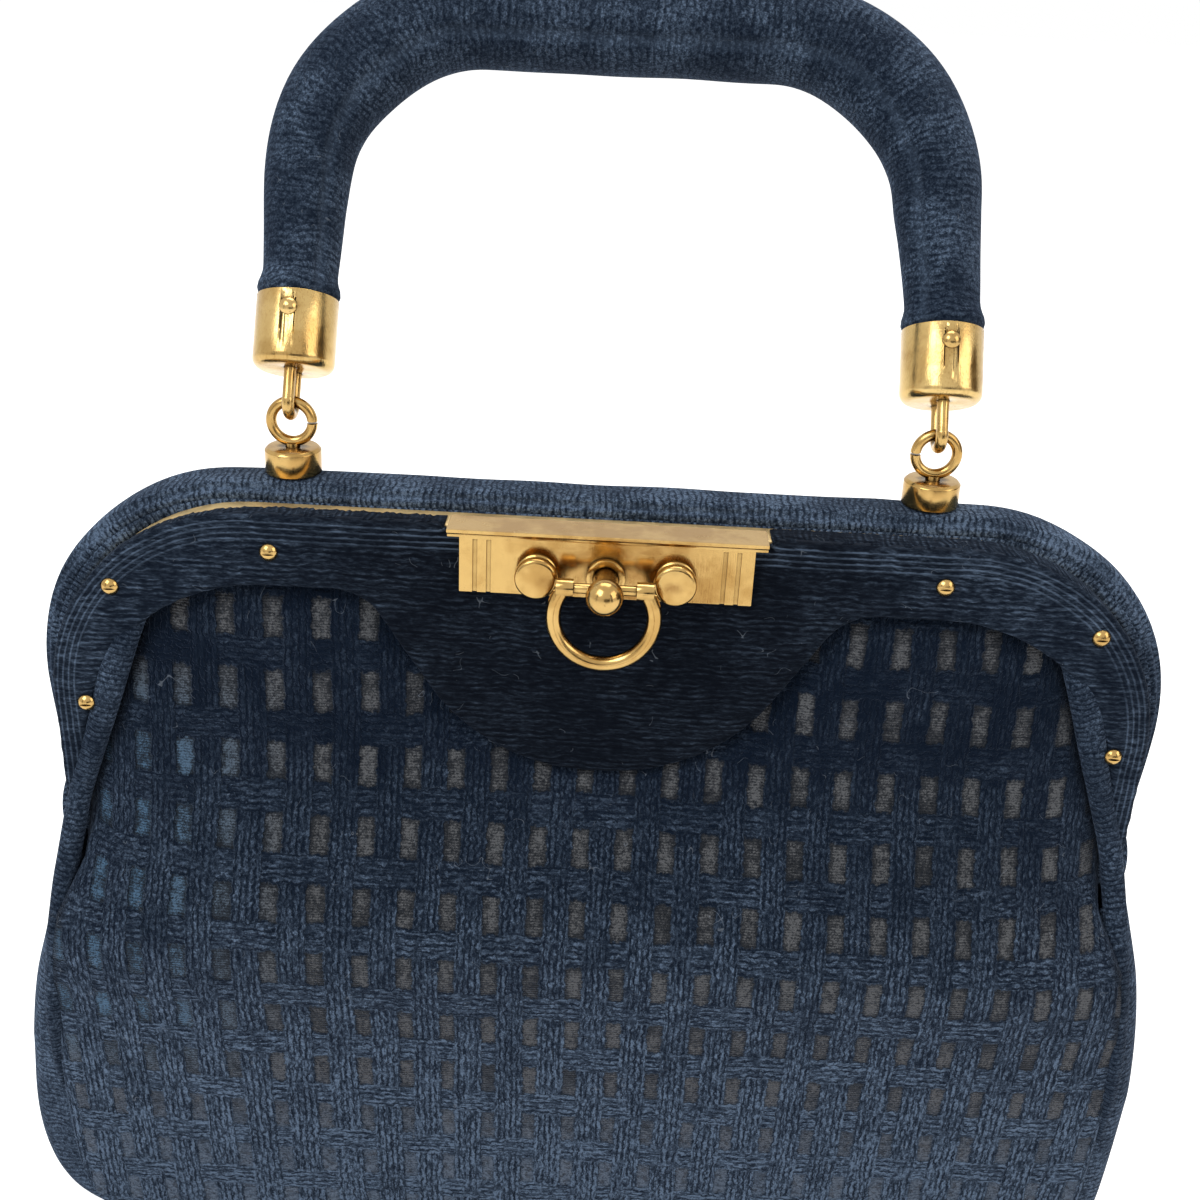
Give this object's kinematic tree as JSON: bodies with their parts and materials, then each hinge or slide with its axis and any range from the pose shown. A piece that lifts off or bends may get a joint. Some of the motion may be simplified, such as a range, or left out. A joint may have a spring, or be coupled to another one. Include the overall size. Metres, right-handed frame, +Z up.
{
  "type": "frame purse",
  "caption": "Structured frame purse in patterned dark velvet, with brass-edged jaws hinged at the sides, a pull-ring clasp and a padded bail handle on ring eyes.",
  "frame": {"origin": "middle of the flat base, where the purse stands", "axes": "+Z up, +X to the right of someone who looks at the clasp, -Y out of the clasp's side"},
  "size_m": [0.265, 0.089, 0.2994],
  "materials": {
    "patterned_velvet": "voided velvet in a woven block pattern, soft sheen",
    "plain_velvet": "fine ribbed velvet, soft sheen",
    "lining_satin": "satin weave",
    "brass": "polished, light wear",
    "pale_brass": "polished, paler where rubbed",
    "spring_steel": "fine brushed",
    "handle_wood": "plain bent wood under the cover",
    "base_board": "compressed fibre board under the lining"
  },
  "bodies": {
    "root": {"base_board": "base_board", "front_panel": "patterned_velvet", "rear_panel": "patterned_velvet", "left_gusset": "plain_velvet", "right_gusset": "plain_velvet", "left_gusset_top": "plain_velvet", "right_gusset_top": "plain_velvet", "bottom_gusset": "plain_velvet", "lining": "lining_satin", "inner_pocket": "lining_satin", "rear_frame": "brass", "rear_rim": "plain_velvet", "rear_yoke": "plain_velvet", "rear_screws": "brass", "left_hinge_pin": "brass", "right_hinge_pin": "brass", "left_post": "brass", "right_post": "brass", "left_eye_bolt": "brass", "right_eye_bolt": "brass", "left_eye_nut": "spring_steel", "right_eye_nut": "spring_steel", "catch_clip": "spring_steel", "catch_rivets": "brass"},
    "front_jaw": {"front_frame": "brass", "front_yoke": "plain_velvet", "front_screws": "brass", "front_panel_upper": "patterned_velvet", "clasp_plate": "brass", "left_knob": "brass", "right_knob": "brass", "clasp_bushing": "brass", "peg_spring": "spring_steel"},
    "latch": {"clasp_peg": "brass", "peg_collar": "spring_steel"},
    "ring": {"pull_ring": "brass", "pull_crossbar": "brass"},
    "handle": {"handle_core": "handle_wood", "handle_cover": "plain_velvet", "left_ferrule": "pale_brass", "right_ferrule": "pale_brass", "left_cross_pin": "pale_brass", "right_cross_pin": "pale_brass", "left_handle_eye": "brass", "right_handle_eye": "brass"}
  },
  "joints": [
    {"name": "jaw_open", "type": "hinge", "parent": "root", "child": "front_jaw", "pos_m": [0, -0.003, 0.119], "axis": [1, 0, 0], "range_deg": [0, 50], "deforming": ["front_panel_upper", "left_gusset_top", "right_gusset_top", "catch_clip"]},
    {"name": "latch_pull", "type": "slide", "parent": "front_jaw", "child": "latch", "axis": [0, -1, 0], "range_m": [0, 0.003], "stiffness_N_per_m": 400, "deforming": ["peg_spring", "catch_clip"]},
    {"name": "ring_swing", "type": "hinge", "parent": "latch", "child": "ring", "pos_m": [0, -0.0235, 0.187], "axis": [1, 0, 0], "range_deg": [-170, 8]},
    {"name": "handle_swing", "type": "hinge", "parent": "root", "child": "handle", "pos_m": [0, 0.00573, 0.21377], "axis": [1, 0, 0], "range_deg": [-66, 124]}
  ]
}
